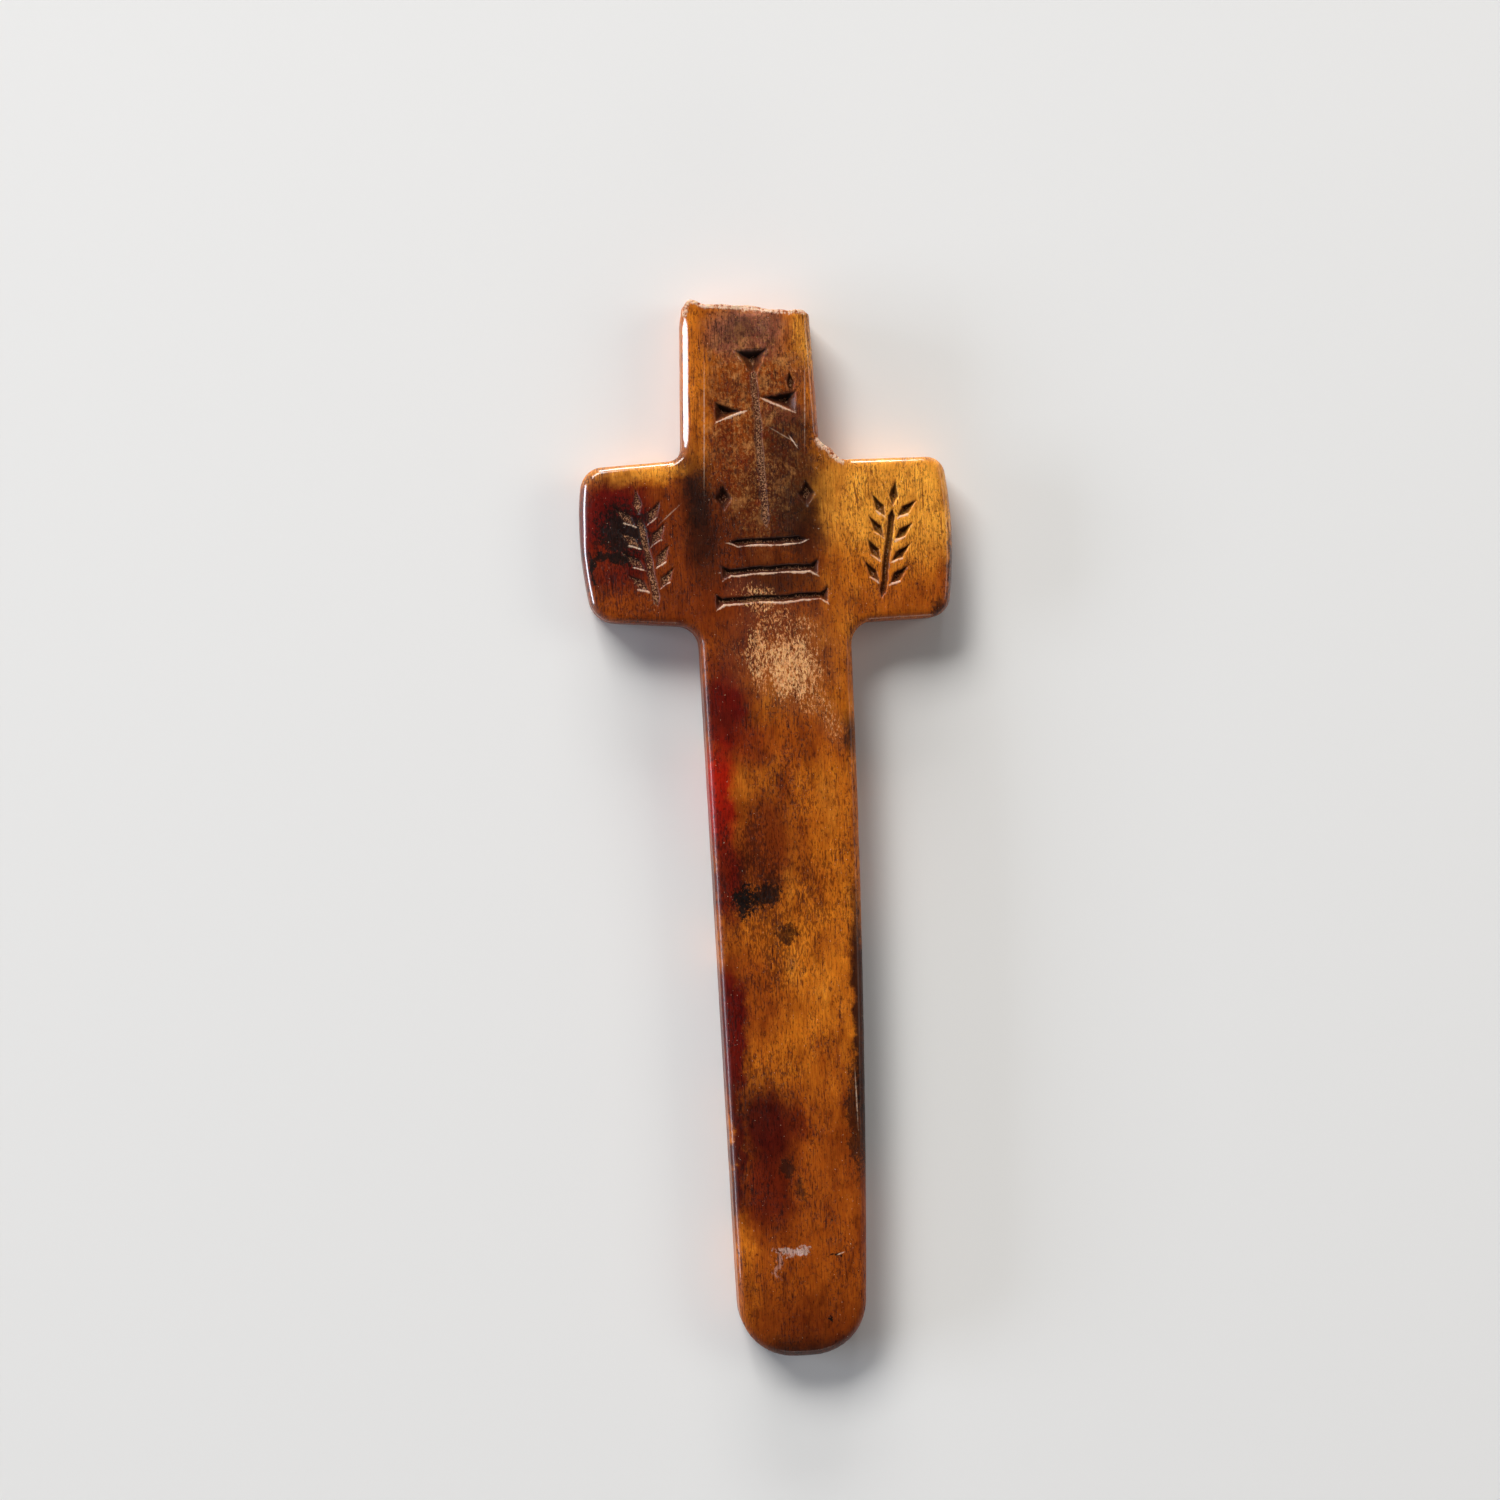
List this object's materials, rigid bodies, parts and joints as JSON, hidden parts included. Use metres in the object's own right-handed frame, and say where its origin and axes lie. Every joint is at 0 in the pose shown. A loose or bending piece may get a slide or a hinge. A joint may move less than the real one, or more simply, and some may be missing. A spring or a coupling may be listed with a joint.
{
  "type": "carved bone cross",
  "caption": "Small flat hand-held devotional cross whittled from a plate of bone, with a broken head, rounded foot and chip-carved ornament.",
  "frame": {"origin": "middle of the arms' span and of the length, on the flat back", "axes": "+Y along the shaft towards the broken head, +X towards the viewer's right arm, +Z out of the carved front"},
  "size_m": [0.021, 0.06, 0.0032],
  "materials": {
    "bone": "old bone, amber to dark brown, worn to a waxy gloss"
  },
  "bodies": {
    "root": {"bone_cross": "bone"}
  },
  "joints": []
}
